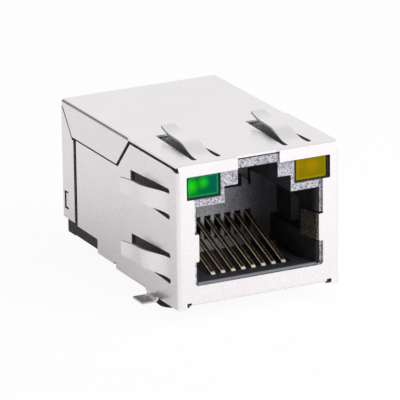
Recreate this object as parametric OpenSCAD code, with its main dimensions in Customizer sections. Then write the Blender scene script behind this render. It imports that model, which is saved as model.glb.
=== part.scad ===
// Shielded board jack for an eight-way modular plug, with two lamps and a
// transformer module behind the plug cavity.
// X runs across the jack (right seen from the front), Y runs from front to back and
// Z is up. The origin lies on the board, midway between the two locating pegs.

/* [Overall] */
// Width across the sheet-metal shield
shield_w = 16.2; // [15.2:0.1:19.5]
// Depth from the front face to the back panel
shield_d = 24.4; // [24:0.1:30]
// Height of the shield's top above the board
shield_h = 13.95; // [13.4:0.05:17]
// Distance of the pegs behind the front face
peg_setback = 6.05; // [5.6:0.05:6.6]

/* [Sheet metal] */
// Thickness of the sheet
sheet = 0.2; // [0.15:0.01:0.24]
// Inside radius of a fold
fold_r = 0.15; // [0.1:0.01:0.2]
// Width of the seams between folded panels
seam = 0.15; // [0.1:0.01:0.25]
// Height of the front face's lower fold above the board
lip_z = 0.75; // [0.6:0.05:0.9]
// Depth of the lip folded under the housing
lip_d = 2.6; // [1.5:0.1:3]
// Height of the side panels' lower edge above the board
side_z = 0.5; // [0.45:0.05:0.6]
// Length that each solder foot reaches out
foot_len = 1.4; // [0.8:0.1:1.8]
// Width of each solder foot
foot_w = 1.95; // [1.2:0.05:2.2]
// Distance of the solder feet's middle behind the front face
foot_y = 5.56; // [5.2:0.02:5.8]

/* [Spring fingers] */
// Rise of the side fingers' long crest above the panel
side_rise = 0.95; // [0.5:0.05:1.2]
// Rise of the top fingers' long crest above the panel
top_rise = 0.7; // [0.4:0.05:1]
// Further rise of a finger's tip
flick = 0.36; // [0.1:0.02:0.5]
// Half width of a finger's window at its front end
window_half = 1.45; // [1.3:0.01:1.5]
// Half width of a finger at its root
finger_half = 1.0; // [0.85:0.01:1.05]
// Distance of the side windows behind the front face
side_window_y = 1.6; // [1.4:0.05:1.8]
// Length of the side windows
side_window_len = 7.9; // [7.6:0.05:7.9]
// Distance of the top windows behind the front face
top_window_y = 1.15; // [1:0.05:1.4]
// Length of the top windows
top_window_len = 8.25; // [8:0.05:8.4]

/* [Plug cavity] */
// Width of the plug cavity
cavity_w = 11.96; // [11.8:0.02:12]
// Height of the cavity floor above the board
floor_z = 2.7; // [2.6:0.02:2.8]
// Height of the cavity at its sides
cavity_h = 7.14; // [7:0.02:7.2]
// Distance of the cavity's back wall behind the front face
cavity_d = 9.3; // [9.1:0.05:9.6]
// Width of the slot for the plug's latch
latch_w = 4; // [3.6:0.1:4.2]
// Width of the step under the latch slot
step_w = 6.6; // [6.2:0.1:6.8]

/* [Contacts] */
// Spacing of the eight plug contacts
contact_pitch = 1.02; // [0.98:0.01:1.04]
// Width of a contact
contact_w = 0.42; // [0.3:0.02:0.5]
// Thickness of a contact
contact_t = 0.3; // [0.2:0.02:0.35]
// Slope of the contacts' free length
contact_slope = 20.2; // [19:0.2:21]

/* [Lamps] */
// Width of a lamp
lamp_w = 3.1; // [2.8:0.02:3.2]
// Height of a lamp
lamp_h = 2.04; // [1.6:0.02:2.04]
// Distance of a lamp's face behind the front face
lamp_setback = 0.3; // [0.25:0.05:1]
// Length of a lamp's body
lamp_len = 4.5; // [3:0.1:4.6]

/* [Pegs] */
// Diameter of a locating peg
peg_d = 3.2; // [2.4:0.05:3.3]
// Spacing of the two pegs
peg_pitch = 11.43; // [11:0.01:11.5]
// Length of a peg below the board's top face
peg_len = 0.95; // [0.6:0.05:1.6]

/* [Module] */
// Spacing of the twelve solder leads
lead_pitch = 0.9; // [0.8:0.01:0.95]
// Width of a solder lead
lead_w = 0.4; // [0.3:0.02:0.44]
// Thickness of a solder lead
lead_t = 0.25; // [0.2:0.01:0.3]
// Thickness of the circuit board
board_t = 0.8; // [0.6:0.1:1]
// Height of the circuit board's underside above the main board
board_z = 8.2; // [8:0.05:8.3]
// Outside diameter of a transformer core
transformer_d = 3.6; // [3:0.1:3.7]
// Outside diameter of a choke core
choke_d = 2.7; // [2.2:0.1:2.8]
// Diameter of the winding wire
wire_d = 0.2; // [0.12:0.02:0.24]

/* [Hidden] */
$fn = 48;
EPS = 0.01;
BIG = 60;
CONTACTS = 8;
LEADS = 12;
SIDES = [-1, 1];

// Clearances
fit = 0.05;          // housing inside the shield
insert_fit = 0.03;   // carriers inside the housing
lamp_fit = 0.03;     // lamp in its pocket, each side
lead_fit = 0.02;     // metal in its moulded channel, each side
contact_gap = 0.1;   // contact in its comb slot, each side
shoulder = 0.12;     // what a peg's tapered root stands out from its wall

// Shield
half_w = shield_w / 2;
bend = fold_r + sheet;
window_top = shield_h - 1.1;         // lower edge of the front face's top strip
lamp_window_h = 2.16;                // height of a lamp window
lamp_window_z = window_top - lamp_window_h;
lamp_window_in = 3.85;               // inner edge of a lamp window from the middle
lamp_window_out = lamp_window_in + 3.33;
notch_half = 2.1;                    // half width of the latch notch in the shield
mouth_half = cavity_w / 2 + 0.46;    // half width of the shield's plug window
mouth_z = floor_z - 0.11;            // its lower edge
leaf_z = 4.87;                       // lower edge of a ground leaf
leaf_h = 2.53;                       // height of a ground leaf
leaf_in = 0.6;                       // how far a leaf leans into the cavity
leaf_len = 2.85;                     // how far a leaf reaches back
leaf_root = cavity_w / 2 + 0.04;
corner_r = 0.3;
relief_r = 0.22;                     // bend relief beside the lower fold
relief_x = half_w - 0.83;
side_top = shield_h - sheet - 0.26;  // upper edge of the side panels' front half
notch_z = side_top - 0.15;           // where the corner notch between the folds starts
tab_half = half_w - 0.2;             // half width of the front face above that notch
finger_z = [4.04, 10.06];            // middles of the side fingers' windows
finger_x = 4.55;                     // middle of a top finger's window
window_taper = 0.4;                  // what a window's half width loses to its rear end
finger_taper = 0.32;                 // the same for a finger
finger_steps = 22;
flap_y = 9.93;                       // front end of the top panel's side flaps
flap_z = 10.82;                      // lower edge of the flaps
flap_slant = 2.57;                   // run of the flaps' slanted front edge
flap_gap = 0.42;                     // gap in front of that edge, along Y
flange_y = shield_d - 2.75;          // front edge of the back panel's side flanges
flange_z = 2.5;                      // lower edge of the flanges and the back panel
flange_seam = 0.6;                   // gap between a side panel and a flange
mitre_seam = 0.3;                    // gap between a flap and a flange, along Z
side_rear = flange_y - flange_seam;
mid_step_y = 13.3;                   // where the side panels' lower edge steps up
rear_step_y = 16.8;                  // where it steps up again
mid_step_z = 1;
rear_step_z = 2.35;
hem_in = 0.25;                       // depth of the side panels' folded lower hem
hem_past_peg = sqrt(max(0, pow(peg_d / 2 + shoulder, 2)
                           - pow(half_w - bend - hem_in - 0.1 - peg_pitch / 2, 2)));
hem_y = max(foot_y + foot_w / 2 + 0.25, peg_setback + hem_past_peg);
notch_y = mid_step_y - 0.38;         // the hem ends at a notch in front of the step
latch_slot = [shield_d - 1.45, 3.4, 0.85, 1.75];   // y, z, length, height

// Housing
body_half = half_w - sheet - fit;
body_front = sheet + fit;
body_back = shield_d - sheet - fit - 0.2;
body_top = shield_h - sheet - fit;
body_z = lip_z + sheet + fit;        // underside of the housing's front half
rear_z = 1.15;                       // underside of its rear half
wall = 0.8;
shelf_z = floor_z + cavity_h;        // underside of the lamp shelves
step_z = shelf_z + 1.55;             // top of the wide step
latch_z = step_z + 1.37;             // top of the latch slot
catch_t = 1.65;                      // thickness of the shoulders that catch the latch
back_wall = 0.9;                     // wall between the cavity and the module
module_y = cavity_d + back_wall;     // where the hollow for the module starts
module_half = body_half - wall;
pocket_in = lamp_window_in - 0.04;
pocket_x = pocket_in + lamp_w / 2 + lamp_fit;
pocket_z = lamp_window_z + 0.04 + lamp_h / 2 + lamp_fit;
slot_bottom = 3.2;                   // lower ends of the comb's teeth
ledge_z = 7.95;                      // where the back wall steps back
ledge_low = leaf_z - 0.12;           // where the side walls step back
slot_w = contact_w + 2 * contact_gap;
recess_z = floor_z - 0.7;            // floor under the contacts
recess_y = 1.95;
peg_chamfer = 0.25;
foot_h = 0.1;

// Contacts
tip_y = 2.1;
tip_z = floor_z - 0.15;
knee_y = 10.9;                       // where a contact turns level inside its carrier
knee_z = contact_z(knee_y);
tail_y = 13.9;                       // where its tail turns up into the board
tail_top = board_z + board_t + 0.4;
carrier_y = [module_y + 0.2, 13.4];

// Module
board_half = module_half - 0.25;
board_y = [13.15, body_back - 0.85];
lead_y = body_back - 1.15;           // plane of the leads' upright length
lead_end = body_back + 1.05;
lamp_wire = 0.45;                    // square wire of a lamp's leads
lamp_wire_x = 0.8;                   // leads each side of a lamp's middle
lamp_wire_z = pocket_z - 0.1;
lamp_wire_y = 14.9;                  // where the lamp leads turn down into the board
hole_r = 0.32;
transformer_h = 2.3;
choke_h = 1.6;
core_bore = 0.5;                     // bore of a core as a share of its outside
turns = 12;
transformer_at = [2.25, tail_y + contact_t / 2 + 0.15 + transformer_d / 2 + wire_d];
choke_at = [3.1, lead_y - 1 - choke_d / 2 - wire_d];
board_gap = 0.05;                    // between the windings and the circuit board
core_top = board_z - board_gap;

shield_colour = [0.86, 0.85, 0.85];
plastic_colour = [0.16, 0.16, 0.17];
gold_colour = [0.82, 0.68, 0.36];
tin_colour = [0.75, 0.75, 0.76];

// ---- helpers -------------------------------------------------------------------

// Everything is drawn with the front face at y = 0 and moved onto the pegs' line.
module from_front() { translate([0, -peg_setback, 0]) children(); }

// A profile drawn in the Y-Z plane, pulled along X from x0 to x1.
module along_x(x0, x1) {
    translate([x0, 0, 0]) rotate([90, 0, 90]) linear_extrude(height = x1 - x0) children();
}

// A profile drawn in the X-Z plane, pulled along Y from y0 to y1.
module along_y(y0, y1) {
    translate([0, y1, 0]) rotate([90, 0, 0]) linear_extrude(height = y1 - y0) children();
}

// A block given by its lowest and highest corners.
module block(low, high) { translate(low) cube(high - low); }

// A copy on each side of the middle plane.
module both_sides() {
    children();
    mirror([1, 0, 0]) children();
}

// A rectangle with round corners, given by its lowest and highest corners.
module round_rect(low, high, r) {
    size = high - low;
    translate(low + [r, 0]) square(size - [2 * r, 0]);
    translate(low + [0, r]) square(size - [0, 2 * r]);
    for (x = [low[0] + r, high[0] - r], y = [low[1] + r, high[1] - r])
        translate([x, y]) circle(r);
}

function unit(v) = v / norm(v);
function left_of(v) = [-v[1], v[0]];
function corner_normal(p, i) =
    let (last = len(p) - 1,
         a = left_of(unit(p[max(i, 1)] - p[max(i, 1) - 1])),
         b = left_of(unit(p[min(i + 1, last)] - p[min(i + 1, last) - 1])))
    (a + b) / (1 + a * b);

// A strip of constant thickness whose middle line passes through the points.
module ribbon(points, thickness) {
    last = len(points) - 1;
    polygon(concat(
        [for (i = [0:last]) points[i] + corner_normal(points, i) * thickness / 2],
        [for (i = [last:-1:0]) points[i] - corner_normal(points, i) * thickness / 2]));
}

// Points of an arc, for the folds in a ribbon.
function arc(centre, r, from, to, steps = 6) =
    [for (i = [0:steps]) centre + r * [cos(from + (to - from) * i / steps),
                                       sin(from + (to - from) * i / steps)]];

// ---- shield --------------------------------------------------------------------

// Cross-section of the front face and both sides, seen from above.
module wrap_section(length) {
    difference() {
        union() {
            round_rect([-half_w, 0], [half_w, 4 * bend], bend);
            translate([-half_w, bend]) square([shield_w, length - bend]);
        }
        union() {
            round_rect([-half_w + sheet, sheet], [half_w - sheet, sheet + 4 * fold_r], fold_r);
            translate([-half_w + sheet, bend]) square([shield_w - 2 * sheet, length]);
        }
    }
}

// Outline of a side panel, in Y and Z.
module side_outline() {
    polygon([
        [0, side_z],
        [mid_step_y, side_z],
        [mid_step_y, mid_step_z],
        [rear_step_y, mid_step_z],
        [rear_step_y, rear_step_z],
        [side_rear, rear_step_z],
        [side_rear, flap_z - seam],
        [flap_y + flap_slant + seam / 2 - flap_gap, flap_z - seam],
        [flap_y - flap_gap, side_top],
        [1.15, side_top],
        [0.5, notch_z],
        [0, notch_z]]);
}

// Outline of the front face, in X and Z, with its lower corners and reliefs.
module front_outline() {
    difference() {
        union() {
            translate([bend - half_w, notch_z - EPS])
                square([shield_w - 2 * bend, shield_h - notch_z]);
            translate([-half_w, side_z + corner_r]) square([shield_w, notch_z - side_z - corner_r]);
            both_sides() round_rect([relief_x, side_z], [half_w, side_z + 2], corner_r);
        }
        translate([-relief_x, 0]) square([2 * relief_x, lip_z + bend]);
        both_sides() translate([relief_x - relief_r, lip_z + bend - relief_r]) circle(relief_r);
    }
}

// Everything that is cut from the front face: the lamp windows, the plug window
// between its two ground leaves, and the notch over the latch.
module front_openings() {
    round_rect([-lamp_window_out, lamp_window_z], [lamp_window_out, window_top], 0.12);
    translate([-notch_half, window_top - EPS]) square([2 * notch_half, 2]);
    difference() {
        round_rect([-mouth_half, mouth_z], [mouth_half, lamp_window_z + 1], corner_r);
        both_sides() round_rect([leaf_root, leaf_z - 0.02], [mouth_half + 1, leaf_z + leaf_h + 0.02], 0.15);
    }
}

// Cross-section of the lip, the front face's upper fold, the top and the back.
module top_section() {
    difference() {
        round_rect([0, 0], [shield_d, shield_h], bend);
        round_rect([sheet, sheet], [shield_d - sheet, shield_h - sheet], fold_r);
    }
}

// Cross-section of the top panel and its two flaps, seen from the front.
module flap_section() {
    difference() {
        round_rect([-half_w, 0], [half_w, shield_h], bend);
        round_rect([-half_w + sheet, sheet], [half_w - sheet, shield_h - sheet], fold_r);
    }
}

// Outline of a flap, in Y and Z. Its rear edge is mitred against the flange.
module flap_outline() {
    run = shield_h - flap_z;
    polygon([
        [flap_y, shield_h + 1],
        [flap_y, shield_h - bend],
        [flap_y + flap_slant, flap_z],
        [shield_d - run * 0.8, flap_z],
        [shield_d - bend, shield_h - bend],
        [shield_d - bend, shield_h + 1]]);
}

// Outline of a flange, in Y and Z, with its upper edge along the mitre.
module flange_outline() {
    run = shield_h - flap_z;
    polygon([
        [flange_y, flange_z],
        [shield_d + 1, flange_z],
        [shield_d + 1, shield_h - bend - mitre_seam],
        [shield_d - bend, shield_h - bend - mitre_seam],
        [shield_d - run * 0.8, flap_z - mitre_seam],
        [flange_y, flap_z - mitre_seam]]);
}

// Cross-section of the back panel and its flanges, seen from above.
module back_section() {
    translate([0, shield_d]) mirror([0, 1]) wrap_section(shield_d - flange_y);
}

// A spring finger's measures: its window's front end and length, its rise, and the
// distances from the window's front end where its ramp starts, where its ramp ends and
// where its tip starts to turn up.
SIDE_FINGER = [side_window_y, side_window_len, side_rise, 0.3, 4.5, 5.2];
TOP_FINGER = [top_window_y, top_window_len, top_rise, 0.75, 3.95, 5.55];
finger_cut = 0.45;                   // gap between a finger's tip and its window's end
root_in = 0.3;                       // how far a finger's root runs into its panel

function smooth(t) = (1 - cos(180 * min(max(t, 0), 1))) / 2;
// Height of a finger above its panel: a smooth ramp to a long crest, and a tip that
// turns up again.
function finger_height(y, f) =
    let (run = y - f[0], tip = f[1] - finger_cut)
    f[2] * smooth((run - f[3]) / (f[4] - f[3])) + flick * pow(max(0, run - f[5]) / (tip - f[5]), 2);

// Window around a finger, in X (across) and Y (along).
module window_outline(f) {
    root = window_half;
    tip = window_half - window_taper;
    difference() {
        polygon([[-root, f[0]], [root, f[0]], [tip, f[0] + f[1]], [-tip, f[0] + f[1]]]);
        both_sides() translate([root, f[0]]) difference() {
            square(2 * corner_r, center = true);
            translate([-corner_r, corner_r]) circle(corner_r);
        }
    }
}

// Outline of the finger itself, flared into its root.
module finger_outline(f) {
    tip = finger_half - finger_taper;
    end = f[0] + f[1] - finger_cut;
    flare = 0.12;
    difference() {
        union() {
            polygon([[-finger_half, f[0] - root_in], [finger_half, f[0] - root_in],
                     [tip, end], [-tip, end]]);
            translate([-finger_half - flare, f[0] - root_in])
                square([2 * (finger_half + flare), root_in + flare]);
        }
        both_sides() translate([finger_half + flare, f[0] + flare]) circle(flare);
    }
}

// A finger standing on a panel whose outer face is z = 0.
module finger(f) {
    start = f[0] - root_in;
    length = f[1] - finger_cut + root_in;
    intersection() {
        translate([0, 0, -1]) linear_extrude(height = 4) finger_outline(f);
        along_x(-2, 2) ribbon(
            [for (i = [0:finger_steps])
                let (y = start + length * i / finger_steps)
                [y, finger_height(y, f) - sheet / 2]],
            sheet);
    }
}

// Carries a shape drawn over a panel facing up onto each place that has a finger.
module on_side(z) { translate([half_w, 0, z]) rotate([0, 90, 0]) children(); }
module on_top(x) { translate([x, 0, shield_h]) children(); }

// A solder foot: the side panel's edge goes down and folds out onto the board.
module solder_foot() {
    middle = sheet / 2 + fold_r;
    translate([0, foot_y - foot_w / 2, 0]) along_y(0, foot_w) ribbon(concat(
        [[half_w - sheet / 2, side_z + 0.1]],
        arc([half_w + fold_r, bend], middle, 180, 270),
        [[half_w + foot_len, sheet / 2]]), sheet);
}

// A side panel's hem, folded in under the housing.
module hem() {
    middle = sheet / 2 + fold_r;
    along_y(hem_y, notch_y) ribbon(concat(
        [[half_w - sheet / 2, side_z + 1]],
        arc([half_w - bend, side_z + bend], middle, 0, -90),
        [[half_w - bend - hem_in, side_z + sheet / 2]]), sheet);
}

// A ground leaf, folded in from the side of the plug window.
module ground_leaf() {
    translate([0, 0, leaf_z]) linear_extrude(height = leaf_h) ribbon(concat(
        [[leaf_root + 1, sheet / 2]],
        arc([leaf_root + bend, bend], fold_r + sheet / 2, 270, 180 + 12),
        [[leaf_root + sheet / 2 - leaf_in, leaf_len - 0.5],
         [leaf_root + sheet / 2 - leaf_in + 0.1, leaf_len]]), sheet);
}

// The barb in a flange's window, bent in to hold the housing.
module barb() {
    y = latch_slot[0];
    translate([0, 0, latch_slot[1] + 0.25]) linear_extrude(height = latch_slot[3] - 0.65)
        ribbon([[half_w - sheet / 2, y - 0.3],
                [half_w - sheet / 2, y],
                [half_w - sheet / 2 - 0.1, y + latch_slot[2] / 2]], sheet);
}

// Front face, sides and their lower edges.
module shield_front() {
    difference() {
        intersection() {
            linear_extrude(height = shield_h) wrap_section(side_rear);
            along_x(-BIG, BIG) side_outline_with_front();
        }
        along_y(-1, sheet + EPS) front_cut();
        both_sides() for (z = finger_z) on_side(z) finger_window(SIDE_FINGER);
        both_sides() block([half_w - 2 * bend, notch_y, 0],
                           [half_w + 1, mid_step_y + EPS, mid_step_z + 0.2]);
        both_sides() block([half_w - 2 * bend, hem_y, 0], [half_w + 1, mid_step_y, side_z + bend]);
    }
    both_sides() {
        for (z = finger_z) on_side(z) finger(SIDE_FINGER);
        solder_foot();
        hem();
        ground_leaf();
    }
}

// The side outline, run on over the full height of the front face.
module side_outline_with_front() {
    side_outline();
    translate([0, side_z]) square([sheet, shield_h - side_z]);
    translate([0, side_z]) square([bend, notch_z - side_z]);
}

// What is outside the front face's outline, and its openings.
module front_cut() {
    difference() {
        translate([-BIG, 0]) square([2 * BIG, BIG]);
        difference() {
            front_outline();
            front_openings();
        }
    }
}

module finger_window(f) {
    translate([0, 0, -1]) linear_extrude(height = 2) window_outline(f);
}

// Lip, upper fold, top and back, with the top's flaps and the back's flanges.
module shield_top() {
    difference() {
        union() {
            // front fold and top panel
            intersection() {
                along_x(-half_w + EPS, half_w - EPS) top_section();
                union() {
                    block([-tab_half, 0, notch_z - 0.05], [tab_half, bend + EPS, shield_h]);
                    block([-half_w + EPS, bend, shield_h - sheet], [half_w - EPS, flap_y, shield_h]);
                    block([-half_w + bend, bend, shield_h - sheet],
                          [half_w - bend, shield_d, shield_h]);
                    block([-half_w + bend, shield_d - bend, flange_z], [half_w - bend, shield_d, shield_h]);
                }
            }
            // flaps
            intersection() {
                along_y(flap_y, shield_d - bend) flap_section();
                along_x(-BIG, BIG) flap_outline();
            }
            // back panel and flanges
            intersection() {
                linear_extrude(height = shield_h) back_section();
                along_x(-BIG, BIG) flange_outline();
            }
        }
        for (side = SIDES) on_top(side * finger_x) finger_window(TOP_FINGER);
        block([-notch_half, -1, shield_h - 1], [notch_half, bend, shield_h + 1]);
        both_sides() along_x(half_w - 1, half_w + 1)
            translate([latch_slot[0], latch_slot[1]]) square([latch_slot[2], latch_slot[3]]);
    }
    for (side = SIDES) on_top(side * finger_x) finger(TOP_FINGER);
    both_sides() barb();
}

// The lip folded back from the front face's lower edge.
module lip() {
    along_x(-relief_x + relief_r * 2, relief_x - relief_r * 2)
        ribbon(concat(
            [[sheet / 2, lip_z + bend + EPS]],
            arc([bend, lip_z + bend], fold_r + sheet / 2, 180, 270),
            [[lip_d, lip_z + sheet / 2]]), sheet);
}

module shield() {
    color(shield_colour) from_front() {
        shield_front();
        shield_top();
        lip();
    }
}

// ---- housing -------------------------------------------------------------------

// Stepped section of the plug cavity, in X and Z.
module cavity_section() {
    translate([-cavity_w / 2, floor_z]) square([cavity_w, cavity_h]);
    translate([-step_w / 2, shelf_z - EPS]) square([step_w, step_z - shelf_z + EPS]);
    translate([-latch_w / 2, step_z - EPS]) square([latch_w, latch_z - step_z + EPS]);
}

// Hollow of the plug cavity, with the chamfers at its mouth.
module cavity() {
    along_y(-1, cavity_d) cavity_section();
    // room behind the shoulders for the plug's latch
    block([-step_w / 2, body_front + catch_t, shelf_z], [step_w / 2, cavity_d, latch_z]);
    // chamfered lower and side edges of the mouth
    along_x(-cavity_w / 2, cavity_w / 2)
        polygon([[body_front - EPS, floor_z - 0.15], [body_front + 0.2, floor_z + EPS],
                 [body_front - EPS, floor_z + EPS]]);
    both_sides() translate([0, 0, floor_z]) linear_extrude(height = cavity_h)
        polygon([[cavity_w / 2 - EPS, body_front - EPS], [cavity_w / 2 + 0.22, body_front - EPS],
                 [cavity_w / 2 - EPS, body_front + 0.3]]);
    // bevel under the bar over the latch
    along_x(-latch_w / 2, latch_w / 2)
        polygon([[body_front - EPS, latch_z - EPS], [body_front + 0.15, latch_z - EPS],
                 [body_front - EPS, latch_z + 0.15]]);
    // floor under the contacts, and a groove along each side wall
    half = contact_pitch * CONTACTS / 2 + 0.15;
    block([-half, recess_y, recess_z], [half, cavity_d, floor_z + EPS]);
    both_sides() translate([0, 0, floor_z - 0.5]) linear_extrude(height = 1)
        round_rect([cavity_w / 2 - 0.85, 2.4], [cavity_w / 2 - 0.1, 7.9], 0.35);
    // the side walls stand back above the height where the ground leaves start
    both_sides() block([cavity_w / 2 - EPS, 1.2, ledge_low], [cavity_w / 2 + 0.65, cavity_d, shelf_z]);
    // pockets that the ground leaves spring into
    both_sides() block([cavity_w / 2 - EPS, -1, ledge_low],
                       [body_half - 0.4, 6.5, leaf_z + leaf_h + 0.1]);
}

// Comb of slots that the contacts pass through, open to the recess below, and the
// step in the back wall above it.
module comb() {
    for (i = [1:CONTACTS])
        along_x(contact_x(i) - slot_w / 2, contact_x(i) + slot_w / 2)
            polygon([[cavity_d - EPS, slot_bottom], [module_y + EPS, slot_bottom],
                     [module_y + EPS, contact_z(module_y) + 0.36],
                     [cavity_d - EPS, contact_z(cavity_d) + 0.36]]);
    half = contact_pitch * CONTACTS / 2 + 0.15;
    block([-half, cavity_d - EPS, recess_z], [half, cavity_d + 0.45, slot_bottom]);
    block([-half - 0.6, cavity_d - EPS, ledge_z], [half + 0.6, cavity_d + 0.55, shelf_z]);
}

// Two ribs with slanted tops in the back wall's upper recess.
module corner_ribs() {
    for (rib = [[3.0, 3.75, 8.95, 8.3], [3.95, 5.2, 9.3, 8.55]])
        along_y(cavity_d, cavity_d + 0.6)
            polygon([[rib[0], ledge_z - EPS], [rib[1], ledge_z - EPS], [rib[1], rib[3]], [rib[0], rib[2]]]);
}

// Pocket of a lamp, and the channels of its two leads.
module lamp_pocket() {
    w = lamp_w / 2 + lamp_fit;
    h = lamp_h / 2 + lamp_fit;
    block([pocket_x - w, -1, pocket_z - h],
          [pocket_x + w, lamp_setback + lamp_len + 0.2, pocket_z + h]);
    for (side = SIDES)
        block([pocket_x + side * lamp_wire_x - 0.3, lamp_setback, lamp_wire_z - 0.3],
              [pocket_x + side * lamp_wire_x + 0.3, module_y + EPS, lamp_wire_z + 0.3]);
}

// Hollow behind the plug cavity, open at the rear and under the leads.
module module_hollow() {
    block([-module_half, module_y, rear_z + wall], [module_half, BIG, body_top - wall]);
    block([-module_half, lead_y - 3.6, 0], [module_half, BIG, rear_z + wall + EPS]);
}

module peg() {
    translate([peg_pitch / 2, peg_setback, 0]) {
        translate([0, 0, 0.05]) cylinder(d1 = peg_d + shoulder, d2 = peg_d + 2 * shoulder, h = body_z);
        translate([0, 0, -peg_len + peg_chamfer]) cylinder(d = peg_d, h = peg_len);
        translate([0, 0, -peg_len])
            cylinder(d1 = peg_d - 2 * peg_chamfer, d2 = peg_d, h = peg_chamfer);
    }
}

module housing() {
    color(plastic_colour) from_front() difference() {
        union() {
            block([-body_half, body_front, body_z], [body_half, mid_step_y + 0.1, body_top]);
            block([-body_half, mid_step_y, rear_z], [body_half, body_back, body_top]);
            both_sides() {
                peg();
                // corner behind the shield's bend relief, and a rib behind its notch
                block([relief_x - 2 * relief_r + 0.06, body_front, side_z + 0.1],
                      [body_half, 1.4, body_z + EPS]);
                block([body_half - 0.9, notch_y + 0.05, side_z + 0.1],
                      [body_half, mid_step_y + 0.1, rear_z + EPS]);
                // stand-off rib under the cavity, and a foot at the rear corner
                block([3, 3.6, 0.05], [3.6, 12.6, body_z + EPS]);
                block([module_half, body_back - 1.7, rear_z - foot_h],
                      [body_half, body_back, rear_z + EPS]);
            }
        }
        cavity();
        comb();
        both_sides() lamp_pocket();
        module_hollow();
        // pockets that the flanges' barbs snap into
        both_sides() block([body_half - 0.3, latch_slot[0] - 0.2, latch_slot[1]],
                           [body_half + 1, latch_slot[0] + latch_slot[2], latch_slot[1] + latch_slot[3]]);
        // bevels that lead the shield over the rear edges
        both_sides() translate([body_half, body_back, 0]) rotate([0, 0, 45])
            cube([0.3, 0.3, BIG], center = true);
    }
    color(plastic_colour) from_front() corner_ribs();
}

// ---- contacts ------------------------------------------------------------------

function contact_x(i) = (i - (CONTACTS + 1) / 2) * contact_pitch;

// Height of a contact's middle line along its sloping length.
function contact_z(y) = tip_z + (y - tip_y) * tan(contact_slope);

// Line of a contact from its tip to its tail, in Y and Z.
function contact_line() = concat(
    [[tip_y, tip_z - 0.08], [tip_y + 0.3, contact_z(tip_y + 0.3)]],
    [[knee_y, knee_z], [knee_y + 0.5, knee_z + 0.06]],
    arc([tail_y - 0.4, knee_z + 0.46], 0.4, 270, 360, 5),
    [[tail_y, tail_top]]);

module contact(i) {
    color(gold_colour) from_front()
        along_x(contact_x(i) - contact_w / 2, contact_x(i) + contact_w / 2)
            ribbon(contact_line(), contact_t);
}

// The contacts' own channel through the carrier.
module contact_channels() {
    for (i = [1:CONTACTS])
        along_x(contact_x(i) - contact_w / 2 - lead_fit, contact_x(i) + contact_w / 2 + lead_fit)
            ribbon(contact_line(), contact_t + 2 * lead_fit);
}

module contact_carrier() {
    half = module_half - insert_fit;
    color(plastic_colour) from_front() difference() {
        union() {
            block([-half, carrier_y[0], rear_z + wall + insert_fit], [half, carrier_y[1], board_z]);
            // shoulder that the circuit board rests on
            both_sides() block([pocket_x + lamp_wire_x - lamp_wire, carrier_y[1] - EPS,
                                rear_z + wall + insert_fit],
                               [half, carrier_y[1] + 1.1, board_z]);
        }
        contact_channels();
        // relief above the contacts' way in
        along_x(-half + 1, half - 1)
            polygon([[carrier_y[0] - 1, 6.6], [carrier_y[0] + 0.8, 6.6],
                     [carrier_y[0] + 0.8, board_z + 1], [carrier_y[0] - 1, board_z + 1]]);
    }
}

// ---- lamps ---------------------------------------------------------------------

// A lamp's moulded body: a flat face, and a back end with a narrower neck.
module lamp(side) {
    neck = 0.9;
    translate([side * pocket_x, lamp_setback, pocket_z]) difference() {
        union() {
            along_y(0, lamp_len - neck)
                round_rect([-lamp_w / 2, -lamp_h / 2], [lamp_w / 2, lamp_h / 2], 0.12);
            along_y(lamp_len - neck - EPS, lamp_len)
                round_rect([-lamp_w / 2 + 0.25, -lamp_h / 2 + 0.2],
                           [lamp_w / 2 - 0.25, lamp_h / 2 - 0.2], 0.12);
        }
        for (lead = SIDES)
            block([lead * lamp_wire_x - lamp_wire / 2 - lead_fit, lamp_len - 2 * neck - lead_fit,
                   lamp_wire_z - pocket_z - lamp_wire / 2 - lead_fit],
                  [lead * lamp_wire_x + lamp_wire / 2 + lead_fit, lamp_len + 1,
                   lamp_wire_z - pocket_z + lamp_wire / 2 + lead_fit]);
    }
}

// Its two leads, which run back over the cavity and down into the circuit board.
module lamp_leads(side) {
    start = lamp_setback + lamp_len - 1.8;
    r = 0.5;
    for (lead = SIDES) {
        x = side * pocket_x + lead * lamp_wire_x;
        along_x(x - lamp_wire / 2, x + lamp_wire / 2) ribbon(concat(
            [[start, lamp_wire_z]],
            arc([lamp_wire_y - r, lamp_wire_z - r], r, 90, 0, 5),
            [[lamp_wire_y, board_z - 0.4]]), lamp_wire);
    }
}

module green_lamp() { color([0.0, 0.5, 0.25]) from_front() lamp(-1); }
module yellow_lamp() { color([0.6, 0.55, 0.0]) from_front() lamp(1); }
module green_lamp_leads() { color(tin_colour) from_front() lamp_leads(-1); }
module yellow_lamp_leads() { color(tin_colour) from_front() lamp_leads(1); }

// ---- transformer module --------------------------------------------------------

function lead_x(i) = (i - (LEADS + 1) / 2) * lead_pitch;

// A solder lead: down from the circuit board, through its carrier, and out onto the
// main board under the back panel.
function lead_line() = concat(
    [[lead_y, tail_top]],
    arc([lead_y + 0.35, lead_t / 2 + 0.35], 0.35, 180, 270, 5),
    [[lead_end, lead_t / 2]]);

module board_lead(i) {
    color(tin_colour) from_front()
        along_x(lead_x(i) - lead_w / 2, lead_x(i) + lead_w / 2) ribbon(lead_line(), lead_t);
}

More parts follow.
